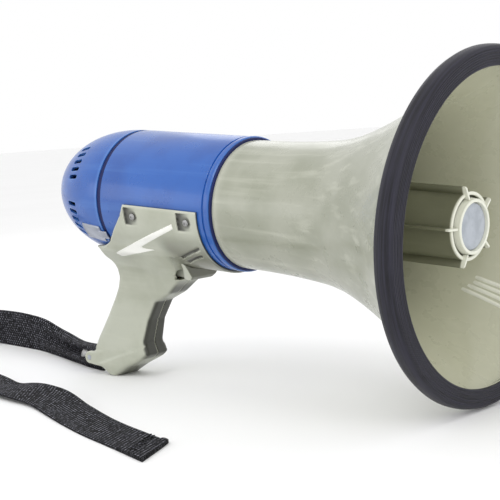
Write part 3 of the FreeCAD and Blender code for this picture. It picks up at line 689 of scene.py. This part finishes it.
def make_bell_ribs():
    """Four low ribs along the inside of the bell, on the user's left and below the middle."""
    parts = []
    for angle, deepest in BELL_RIBS:
        line = [p for p in offset_inwards(smooth_line(FLARE, 5), BELL_WALL) if RIB_FRONT < p[0] < deepest]
        vertices = []
        for step, (back, radius) in enumerate(line):
            height = RIB_HEIGHT * min(1.0, step / 2.0, (len(line) - 1 - step) / 2.0) + 0.02
            for around, rise in ((-1.7, -0.3), (-0.8, height), (0.8, height), (1.7, -0.3)):
                turn = math.radians(angle) + around / radius
                vertices.append((-back, (radius - rise) * math.sin(turn), (radius - rise) * math.cos(turn)))
        parts.append(lofted(vertices, 4))
    # The ribs take the paler grey: a painted highlight along them.
    dress(joined("bell_ribs", parts, "megaphone", "grey_plastic", crease=60.0), "pale_grey")


make_bell()
make_bell_ribs()
make_rim()


# ---- reflector
CUP_RADIUS = 22.3
CUP_FRONT = 18.4
CUP_BACK = 152.0
FIN_COUNT = 5
FIN_REACH = 27.3
FOOT_REACH = 41.9
FIN_SIDE = [(15.8, 18.6), (16.8, FIN_REACH - 0.9), (17.8, FIN_REACH), (112.0, FIN_REACH), (126.0, FOOT_REACH),
            (CUP_BACK, FOOT_REACH), (CUP_BACK, 21.0), (23.0, 21.0), (22.0, 18.6)]


def make_reflector():
    cup = lathe("reflector_wall", filleted([
        (CUP_FRONT, CUP_RADIUS, 0.7), (CUP_BACK, CUP_RADIUS), (CUP_BACK, CUP_RADIUS - 1.6),
        (26.0, CUP_RADIUS - 2.0), (26.0, 0.0), (22.0, 0.0), (22.0, CUP_RADIUS - 2.6, 0.8),
        (CUP_FRONT, CUP_RADIUS - 2.3, 0.7)]), "megaphone", "grey_plastic", 128)
    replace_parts(cup, "reflector_cup")
    # The cup, fins and ring take the darker grey: painted shade deep in the bell.
    dress(cup, "reflector_grey")
    vertices, faces = extruded(FIN_SIDE, -0.8, 0.8, lambda back, radius, depth: (-back, -radius, depth))
    fins = [([turn_about_horn(v, 360.0 / FIN_COUNT * i) for v in vertices], faces) for i in range(FIN_COUNT)]
    dress(bevelled(joined("reflector_fins", fins, "megaphone", "grey_plastic"), 0.35), "reflector_grey")
    ring = lathe("reflector_ring", filleted([
        (14.9, 15.7, 0.5), (14.9, 17.9, 0.8), (22.0, 18.6), (22.0, 0.0), (20.5, 0.0), (20.5, 15.1)]),
        "megaphone", "grey_plastic", 128)
    dress(ring, "reflector_grey")
    disc = lathe("reflector_plate", filleted([
        (16.2, 0.0), (16.5, 13.3), (16.9, 15.0, 0.4), (20.4, 15.05), (20.4, 0.0)]),
        "megaphone", "disc_plastic", 96)
    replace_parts(ring, "reflector_disc")
    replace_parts(disc, "reflector_disc")


make_reflector()


# ---- body shell and rear cap
BODY_RADIUS = 49.0
BEAD_RADIUS = BODY_RADIUS + 0.3
GROOVE_RADIUS = BODY_RADIUS - 0.9
BODY_FRONT = 200.6
BODY_BACK = 310.9
CAP_SEAM = 315.1
CAP_LENGTH = 77.3
CAP_DEPTH = 69.0
CAP_BACK = CAP_SEAM + CAP_DEPTH
SEAL_RADIUS = 48.3


def make_body():
    """The shell, with a bead and a groove at its front."""
    outline = filleted([
        (BODY_FRONT, BODY_RADIUS - 2.6), (BODY_FRONT, BEAD_RADIUS, 1.4), (205.2, BEAD_RADIUS, 1.4),
        (205.5, GROOVE_RADIUS), (206.7, GROOVE_RADIUS), (206.9, BODY_RADIUS, 0.3),
        (BODY_BACK, BODY_RADIUS, 0.7), (BODY_BACK, BODY_RADIUS - 2.6)])
    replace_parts(lathe("body_case", outline, "megaphone", "blue_plastic", 192, 20.0), "body_shell")


def dome_line(radius, length, depth, steps=36):
    """Half an ellipse behind the seam, from its edge to where the flat back cuts it."""
    last = math.asin(depth / length)
    return [(CAP_SEAM + length * math.sin(t), radius * math.cos(t)) for t in np.linspace(0, last, steps)]


def capsule(length, width, steps=8):
    """A slot's outline with round ends."""
    reach, radius = (length - width) / 2, width / 2
    turns = np.linspace(-math.pi / 2, math.pi / 2, steps)
    line = [(reach + radius * math.cos(t), radius * math.sin(t)) for t in turns]
    return line + [(-a, -b) for a, b in line]


def circle(radius, count=48):
    turns = [math.tau * i / count for i in range(count)]
    return [(radius * math.cos(t), radius * math.sin(t)) for t in turns]


VENT_BACK = 348.6
VENT_SLOT = capsule(12.0, 3.4)
VENT_TURN = 4.6                 # degrees that the groups are turned by, from the top
VENT_PITCH = 8.2
# The openings in the cap's flat back: (across, height, outline).
CONTROLS = [(0.0, 10.5, circle(9.05)), (9.5, -9.0, circle(3.2)),
            (-9.5, -9.0, [(-4.5, -2.2), (4.5, -2.2), (4.5, 2.2), (-4.5, 2.2)])]


def cap_cutters():
    """The cap's ventilation slots and the holes for its controls."""
    parts = []
    vertices, faces = extruded(VENT_SLOT, 34.0, 56.0, lambda a, b, depth: (-VENT_BACK - a, b, depth))
    for group in range(6):
        for place in range(5):
            angle = 60.0 * group + VENT_TURN + VENT_PITCH * (place - 2)
            parts.append(([turn_about_horn(v, -angle) for v in vertices], faces))
    for y, z, outline in CONTROLS:
        parts.append(extruded(outline, CAP_BACK - 8.0, CAP_BACK + 4.0,
                              lambda a, b, depth, y=y, z=z: (-depth, y + a, z + b)))
    return joined("cap_cutters", parts, "cap", "blue_plastic")


def make_cap():
    outer = dome_line(BODY_RADIUS, CAP_LENGTH, CAP_DEPTH)
    inner = dome_line(BODY_RADIUS - 2.4, CAP_LENGTH - 2.4, CAP_DEPTH - 2.4)[::-1]
    edge = outer[-1][1]
    flat = [(CAP_BACK, edge - 0.8), (CAP_BACK, edge - 4.0), (CAP_BACK, edge - 9.0), (CAP_BACK, 0.0),
            (CAP_BACK - 2.4, 0.0)]
    outer[-1] = (outer[-1][0] - 0.35, outer[-1][1] + 0.05)
    collar = [(330.0, 45.2), (330.0, 43.6), (307.4, 43.6), (307.4, 45.9), (CAP_SEAM, 45.9)]
    inner = [p for p in inner if p[0] > 330.5]
    cap = lathe("cap_dome", outer + flat + inner + collar, "cap", "blue_plastic", 192, 30.0)
    cutters = cap_cutters()
    modifier = cap.modifiers.new("slots", "BOOLEAN")
    modifier.operation = "DIFFERENCE"
    modifier.solver = "EXACT"
    modifier.object = cutters
    with_modifiers(cap, 30.0)
    bpy.data.objects.remove(cutters)
    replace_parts(cap, "rear_cap")


def make_seal(name, node_name, low, high, inner, fillets):
    """A dark ring between two distances behind the bell's front."""
    seal = lathe(name, filleted([
        (low, inner), (low, SEAL_RADIUS, fillets[0]), (high, SEAL_RADIUS, fillets[1]), (high, inner)]),
        "megaphone", "dark_blue_seal", 192)
    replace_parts(seal, node_name)


make_body()
make_seal("seal_front", "front_seal", 199.05, 200.58, 45.9, (0.6, 0.4))
make_seal("seal_back", "cap_seal", BODY_BACK + 0.1, CAP_SEAM - 0.15, 46.3, (0.5, 0.5))
make_cap()


# ---- spring clips
def wrapped_plate(outline, angle, radius, thickness, rise=0.0):
    """A bent plate on the body: outline is (back, distance round the body); it rises towards the back."""
    start = min(back for back, _ in outline)
    vertices = []
    for level in (radius, radius + thickness):
        for back, around in outline:
            turn = math.radians(angle) + around / radius
            out = level + rise * (back - start)
            vertices.append((-back, out * math.sin(turn), out * math.cos(turn)))
    return lofted(vertices, len(outline))


def strip_outline(back_low, back_high, half, steps=10):
    """A rectangle round the body with enough points to bend."""
    across = list(np.linspace(-half, half, steps))
    return [(back_low, a) for a in across] + [(back_high, a) for a in reversed(across)]


def make_clip(name, node_name, angle):
    plate = wrapped_plate(strip_outline(317.5, 338.5, 7.4), angle, BODY_RADIUS + 0.15, 0.9, -0.11)
    tongue = wrapped_plate(strip_outline(311.2, 321.6, 3.5), angle, BODY_RADIUS + 0.45, 0.9)
    clip = bevelled(joined(name, [plate, tongue], "cap", "bright_steel"), 0.22)
    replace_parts(clip, node_name)


make_clip("clip_spring_left", "clip_left", 125.0)
make_clip("clip_spring_right", "clip_right", 235.0)


# ---- saddle, grip and trigger
def round_and(a, b, radius):
    """The overlap of two fields with its edge rounded."""
    u, v = np.maximum(radius + a, 0.0), np.maximum(radius + b, 0.0)
    return np.minimum(-radius, np.maximum(a, b)) + np.sqrt(u * u + v * v)


def round_or(a, b, radius):
    """The union of two fields with a fillet between them."""
    u, v = np.maximum(radius - a, 0.0), np.maximum(radius - b, 0.0)
    return np.maximum(radius, np.minimum(a, b)) - np.sqrt(u * u + v * v)


class Space:
    """A block of sample points in the horn's frame. back is the distance behind the bell's front."""

    def __init__(self, low, high, step):
        self.low, self.step = np.array(low, float), step
        counts = [int(math.ceil((b - a) / step)) + 1 for a, b in zip(low, high)]
        axes = [np.float32(a) + np.float32(step) * np.arange(n, dtype=np.float32)
                for a, n in zip(low, counts)]
        self.x, self.y, self.z = np.meshgrid(*axes, indexing="ij")
        self.back = -self.x
        self.radius = np.sqrt(self.y ** 2 + self.z ** 2)

    def surface(self, name, field, body, slot_name, crease=40.0):
        """The field's zero surface as an object."""
        grid = openvdb.FloatGrid(4.0)
        grid.copyFromArray(np.ascontiguousarray(field, dtype=np.float32))
        points, triangles, quads = grid.convertToPolygons(isovalue=0.0, adaptivity=0.0)
        points = points * self.step + self.low
        faces = [tuple(int(v) for v in face) for face in list(quads) + list(triangles)]
        return built(name, points.tolist(), faces, body, slot_name, crease=crease)


def polygon_field(u, v, corners):
    """Signed distance to a closed outline in a plane, negative inside."""
    best = np.full(u.shape, 1e9, np.float32)
    inside = np.zeros(u.shape, bool)
    for (ax, ay), (bx, by) in zip(corners, corners[1:] + corners[:1]):
        ex, ey = bx - ax, by - ay
        share = np.clip(((u - ax) * ex + (v - ay) * ey) / (ex * ex + ey * ey), 0, 1)
        best = np.minimum(best, (u - ax - ex * share) ** 2 + (v - ay - ey * share) ** 2)
        if ay != by:
            crosses = ((ay > v) != (by > v)) & (u < ex * (v - ay) / ey + ax)
            inside ^= crosses
    return np.where(inside, -1, 1) * np.sqrt(best)


SADDLE_RADIUS = 51.3
SADDLE_INNER = BODY_RADIUS + 0.06
SADDLE_SIDE = [(211.0, -2.0), (285.0, -2.0), (289.0, -10.7), (295.0, -17.5), (304.0, -26.4), (310.5, -32.3),
               (320.5, -39.3), (331.0, -46.0), (336.0, -52.0), (211.0, -52.0)]
# Level sections of the grip: height, back, front, half width at the back, half width at the front.
GRIP_SECTIONS = [
    (-40, 340, 246, 31, 30), (-46, 338, 250, 24, 24), (-52, 335, 255.5, 19.5, 19),
    (-60, 331.5, 262, 17, 14.5), (-66, 330, 268.5, 16.5, 12.5), (-74, 332, 277, 16, 11),
    (-82, 335.5, 291, 16, 10), (-98, 344, 299.5, 16, 9.5), (-116, 354, 304, 16.5, 11),
    (-125, 358, 299.5, 17.2, 11.5), (-129, 358.5, 304, 17.5, 11.5),
    (-138, 357, 321, 17.5, 12.5), (-147, 346, 334, 14, 11)]


def grip_field(space, inset=0.0):
    """The handle: a rounded trapezoid in plan that changes with height."""
    table = np.array(sorted(GRIP_SECTIONS), float)
    heights = np.arange(-147.0, -39.9, 0.5)
    columns = [eased(np.interp(heights, table[:, 0], table[:, i]), 9) for i in range(1, 5)]
    slopes = [np.gradient(values, heights) for values in columns]
    back, front, back_half, front_half = [np.interp(space.z, heights, values) for values in columns]
    back_slope, front_slope = [np.interp(space.z, heights, values) for values in slopes[:2]]
    run = (space.back - front) / np.maximum(back - front, 1.0)
    half = front_half + (back_half - front_half) * np.clip(run, -0.2, 1.2)
    crease = -117.0 - 0.42 * (space.back - 301.0)
    skirt = 1.3 * np.clip((crease - space.z) / 1.6, 0, 1) * np.clip((space.back - 296.0) / 12.0, 0, 1)
    side = np.abs(space.y) - half - skirt + inset
    behind = (space.back - back) / np.sqrt(1 + back_slope ** 2) + inset
    ahead = (front - space.back) / np.sqrt(1 + front_slope ** 2) + inset
    plan = round_and(round_and(side, behind, 8.5), ahead, 3.2)
    return np.maximum(plan, band_field(space, -147.0 + inset, -38.0 - inset))


def bar_field(space, back, height, radius, low=-60.0, high=60.0):
    """A bar across the horn, along Y."""
    around = np.sqrt((space.back - back) ** 2 + (space.z - height) ** 2) - radius
    return np.maximum(around, np.maximum(low - space.y, space.y - high))


def box_field(space, half, back, height):
    """A box with half its width and its limits in back and height."""
    length = np.maximum(back[0] - space.back, space.back - back[1])
    return np.maximum(np.abs(space.y) - half, np.maximum(length, band_field(space, *height)))


def band_field(space, low, high):
    """Everything between two heights."""
    return np.maximum(low - space.z, space.z - high)


def cut(field, tool):
    """A field with another taken out of it."""
    return np.maximum(field, -tool)


def peg_field(space, angle, back, radius, floor):
    """A peg square to the body, at an angle from the top, outside a floor."""
    turn = math.radians(angle)
    out_y, out_z = math.sin(turn), math.cos(turn)
    out = space.y * out_y + space.z * out_z
    aside = space.y * out_z - space.z * out_y
    return np.maximum(np.sqrt(aside ** 2 + (space.back - back) ** 2) - radius, floor - out)


SADDLE_SCREWS = [(side, back) for side in (1, -1) for back in (221.5, 275.6)]
SCREW_ANGLE = 78.0
GRIP_SCREWS = [(334.0, -58.0), (318.0, -84.0), (331.0, -112.0)]
SCREW_HOLE = 1.55
PIN = (361.0, -135.0)
LUG_RADIUS = 5.0
LUG_HALF = 17.5
LUG_WEB = [(338, -127), (362, -130.2), (362, -139.8), (338, -141)]
TRIGGER_ROOM = [(238, -40), (252.0, -40), (254.0, -43), (261.4, -52), (266.4, -57.5), (267.6, -61.2),
                (238, -61.2)]
# The low ridge on the saddle's side, finished near-white as a painted highlight, and the moulded steps over
# the trigger, as outlines of (back, height).
CHEVRON = [(314.0, -43.5), (235.2, -12.3), (234.9, -16.4), (279.2, -35.0), (262.7, -35.3), (309.7, -46.4)]
SADDLE_STEPS = [[(243, -38.6), (227, -32.6), (216, -28.6), (216, -30.4), (227, -34.6), (243, -40.8)],
                [(241, -42.2), (227, -37.2), (217, -34.6), (217, -36.4), (227, -39.2), (241, -44.4)]]


def pocket_field(space, angle, back):
    """A wedge-shaped recess about a saddle screw, deepest at its rear end."""
    turn = math.radians(angle)
    aside = space.y * math.cos(turn) - space.z * math.sin(turn)
    ahead = space.back - back
    floor = SADDLE_RADIUS - 0.1 - (ahead + 6.0) / 15.0 * 1.4
    wedge = np.maximum(np.abs(aside) - 6.6, np.maximum(-6.0 - ahead, ahead - 9.0))
    wedge = np.maximum(wedge, -space.y * math.sin(turn))
    return np.maximum(wedge, floor - space.radius)


def make_grip():
    """The saddle and hollow handle as one field, split into two halves, and the saddle's ridges, finished
    near-white as a painted highlight.
    """
    space = Space((-368.0, -54.0, -149.5), (-208.0, 54.0, 0.5), 0.8)
    shell = np.maximum(space.radius - SADDLE_RADIUS, SADDLE_INNER - 6.0 - space.radius)
    saddle = round_and(shell, polygon_field(space.back, space.z, SADDLE_SIDE), 0.9)
    whole = round_or(saddle, grip_field(space), 9.0)
    ear = round_and(bar_field(space, *PIN, LUG_RADIUS), np.abs(space.y) - LUG_HALF, 0.8)
    web_half = LUG_HALF - 0.3 * np.clip(352.0 - space.back, 0, 14)
    web = round_and(polygon_field(space.back, space.z, LUG_WEB), np.abs(space.y) - web_half, 0.8)
    whole = round_or(whole, np.minimum(ear, web), 1.5)
    whole = round_and(whole, -box_field(space, 13.2, (352.5, 400.0), (-145.0, -122.0)), 0.6)
    cavity = np.maximum(grip_field(space, 2.6), band_field(space, -119.0, -53.5))
    for back, height in GRIP_SCREWS:
        cavity = cut(cavity, bar_field(space, back, height, 4.0, -20.0, 20.0))
    whole = cut(whole, cavity)
    bore = np.where(space.back > CAP_SEAM - 1.5, BODY_RADIUS + 0.6, SADDLE_INNER)
    whole = np.maximum(whole, bore - space.radius)
    housing = box_field(space, 8.5, (240.0, 290.0), (-60.6, -51.7))
    clearance = cut(polygon_field(space.back, space.z, TRIGGER_ROOM), space.radius - SADDLE_RADIUS)
    whole = cut(whole, np.minimum(housing, clearance))
    for side, back in SADDLE_SCREWS:
        angle = 180.0 - side * SCREW_ANGLE
        whole = cut(whole, pocket_field(space, angle, back))
        whole = round_and(whole, -peg_field(space, angle, back, 4.4, SADDLE_RADIUS - 1.0), 0.3)
        whole = cut(whole, peg_field(space, angle, back, SCREW_HOLE, 30.0))
    for back, height in GRIP_SCREWS:
        whole = cut(whole, bar_field(space, back, height, SCREW_HOLE, -7.0))
        whole = round_and(whole, -bar_field(space, back, height, 3.1, 9.0), 0.3)
    whole = cut(whole, bar_field(space, *PIN, 2.0, -20.0, 20.0))
    for step in SADDLE_STEPS:
        groove = polygon_field(space.back, space.z, step)
        whole = cut(whole, np.maximum(groove, SADDLE_RADIUS - 1.2 - space.radius))
    # The ridge stands proud of the saddle and is finished near-white: a painted highlight.
    chevron = polygon_field(space.back, space.z, CHEVRON)
    for side, sign in (("left", 1.0), ("right", -1.0)):
        ridge = round_and(np.maximum(whole - 0.7, -whole - 1.4), chevron, 0.5)
        ridge = np.maximum(ridge, 12.0 - sign * space.y)
        dress(space.surface("saddle_highlight_chevron_" + side, ridge, "megaphone", "grip_plastic"), "polished_grey")
    for side, sign in (("left", 1.0), ("right", -1.0)):
        half = round_and(whole, 0.05 - sign * space.y, 0.35)
        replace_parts(space.surface("grip_half_" + side, half, "megaphone", "grip_plastic"), "grip_" + side)


# Level sections of the trigger: height, back, front, half width.
TRIGGER_SECTIONS = [(-60.5, 259.6, 252.5, 12.0), (-57.5, 258.2, 249.5, 13.5), (-52, 255.0, 249.0, 18.0),
                    (-44, 250.8, 247.6, 25.5)]


def make_trigger():
    space = Space((-279.0, -28.0, -62.5), (-242.0, 28.0, -36.0), 0.5)
    table = np.array(TRIGGER_SECTIONS, float)
    back, front, half = [np.interp(space.z, table[:, 0], table[:, i]) for i in range(1, 4)]
    paddle = round_and(np.abs(space.y) - half, (space.back - back) * 0.8, 0.6)
    paddle = round_and(paddle, (front - space.back) * 0.9, 1.6)
    paddle = round_and(paddle, -60.5 - space.z, 0.8)
    whole = np.minimum(paddle, box_field(space, 8.0, (256.0, 276.0), (-60.0, -52.0)))
    spring_bore = np.sqrt(space.y ** 2 + (space.z + 54.6) ** 2) - 2.6
    whole = cut(whole, np.maximum(spring_bore, 269.0 - space.back))
    whole = round_and(whole, SADDLE_RADIUS + 0.35 - space.radius, 0.3)
    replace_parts(space.surface("trigger_paddle", whole, "trigger", "trigger_plastic"), "trigger")


make_grip()
make_trigger()


# ---- screws and lug rivet
def screw_parts(under_head, way, tip_length, head=2.8, shank=1.5):
    """A pan-head screw with a cross recess, in rings about its own axis."""
    way = Vector(way).normalized()
    one = way.orthogonal().normalized()
    profile = [(-tip_length, 0.3), (-tip_length + 1.0, shank), (0.0, shank), (0.0, head), (0.9, head),
               (1.35, head * 0.88), (1.7, head * 0.6), (1.8, head * 0.34), (1.8, head * 0.3)]
    count = 40
    vertices = rings_about(Vector(under_head), way, one, way.cross(one), profile, count)
    for i in range(count):
        turn = math.tau * i / count
        in_cross = min(abs(math.sin(turn)), abs(math.cos(turn))) < 0.32
        spot = len(vertices) - count + i
        vertices[spot] = tuple(Vector(vertices[spot]) - way * (0.9 if in_cross else 0.05))
    return lofted(vertices, count)


def make_screws():
    parts = []
    for side, back in SADDLE_SCREWS:
        turn = math.radians(180.0 - side * SCREW_ANGLE)
        way = Vector((0.0, math.sin(turn), math.cos(turn)))
        parts.append(screw_parts(Vector((-back, 0, 0)) + way * (SADDLE_RADIUS - 0.98), way, 1.2, 2.5))
    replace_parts(joined("saddle_screw_set", parts, "megaphone", "plated_steel"), "saddle_screws")
    parts = [screw_parts((-back, 9.02, height), (0, 1, 0), 15.5) for back, height in GRIP_SCREWS]
    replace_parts(joined("grip_screw_set", parts, "megaphone", "plated_steel"), "grip_screws")


make_screws()


# ---- strap fittings
RIVET_STATION = 34.0
RIVET_PROFILE = [(-1.5, 3.4), (-0.4, 5.2), (0.0, 5.6), (0.5, 5.3), (0.6, 4.2), (1.5, 3.6), (2.2, 2.4),
                 (2.5, 1.0)]


def band_row(station):
    """The webbing's ring at a distance along it, in millimetres."""
    last = len(strap_centre) - 1
    return min(int(station * MM / strap_length * last), last)


def band_point(station, across, out):
    """A point on the webbing: millimetres along it, across it from the middle, and off its face."""
    row = band_row(station)
    return Vector(strap_centre[row] + strap_width_way[row] * across * MM + strap_face_way[row] * out * MM)


def make_stitches():
    """Two rows of thread across the sewn hem."""
    parts = []
    thread = 0.4 * MM
    up = Vector((0.0, 0.0, 1.0))
    for inset in (HEM_LENGTH - 3.0, HEM_LENGTH - 8.0):
        for across in np.arange(-13.0, 13.1, 2.6):
            station = strap_length / MM - inset - CUT_SLANT * across / STRAP_WIDTH
            out = STRAP_THICKNESS / 2 + HEM_RISE
            start, end = [band_point(station, across + half, out) for half in (-0.85, 0.85)]
            span = (end - start).length
            way = (end - start) / span
            profile = [(0.0, 0.3 * thread), (0.25 * span, thread), (0.75 * span, thread), (span, 0.3 * thread)]
            parts.append(lofted(rings_about(start, way, way.cross(up), up, profile, 6), 6))
    return joined("strap_stitches", parts, "megaphone", "strap_webbing", WORLD, 60.0)


def make_rivet():
    """The domed rivet that closes the strap's loop behind the lug, with its washer."""
    row = band_row(RIVET_STATION)
    out = -Vector(strap_face_way[row])
    one = Vector(strap_width_way[row])
    profile = [(height * MM, radius * MM) for height, radius in RIVET_PROFILE]
    rings = rings_about(band_point(RIVET_STATION, 0.0, -1.2), out, one, out.cross(one), profile, 36)
    return joined("strap_rivet", [lofted(rings, 36)], "megaphone", "plated_steel", WORLD, 40.0)


strap_stitches = make_stitches()
strap_rivet = make_rivet()


# ---- floor and light
def make_stage():
    mesh = bpy.data.meshes.new("floor")
    shape = bmesh.new()
    bmesh.ops.create_grid(shape, x_segments=8, y_segments=8, size=30.0)
    shape.to_mesh(mesh)
    shape.free()
    floor = bpy.data.objects.new("floor", mesh)
    bpy.context.scene.collection.objects.link(floor)
    finish = Finish("floor", 0.85)
    finish.colour(finish.mix(finish.ramp(finish.noise(3.0, 3.0), 0.3, 0.7), (0.92,) * 3, (0.935,) * 3))
    finish.bump((finish.noise(300.0, 2.0), 0.0001, 0.1))
    mesh.materials.append(finish.material)


# Soft lights, all aimed at one point: name, place, width, height, watts.
LIT_POINT = Vector((0.0, 0.0, 0.12))
SOFTBOXES = [("key", (0.2, -1.2, 1.6), 1.0, 0.7, 5.5), ("front", (1.6, -0.4, 0.8), 0.7, 0.7, 5.5),
             ("side", (-1.1, -1.2, 0.35), 0.8, 0.5, 1.5), ("back", (-0.6, 1.4, 1.0), 1.4, 0.8, 3.0)]


def make_lights():
    world = bpy.data.worlds.new("studio")
    world.use_nodes = True
    background = world.node_tree.nodes["Background"]
    background.inputs["Color"].default_value = (1.0, 1.0, 1.0, 1.0)
    background.inputs["Strength"].default_value = 1.0
    bpy.context.scene.world = world
    for name, place, width, height, watts in SOFTBOXES:
        data = bpy.data.lights.new(name, "AREA")
        data.shape = "RECTANGLE"
        data.size, data.size_y = width, height
        data.energy = watts
        light = bpy.data.objects.new(name, data)
        light.location = place
        light.rotation_euler = (LIT_POINT - Vector(place)).to_track_quat("-Z", "Y").to_euler()
        bpy.context.scene.collection.objects.link(light)
    bpy.context.scene.view_settings.view_transform = "Standard"


make_stage()
make_lights()
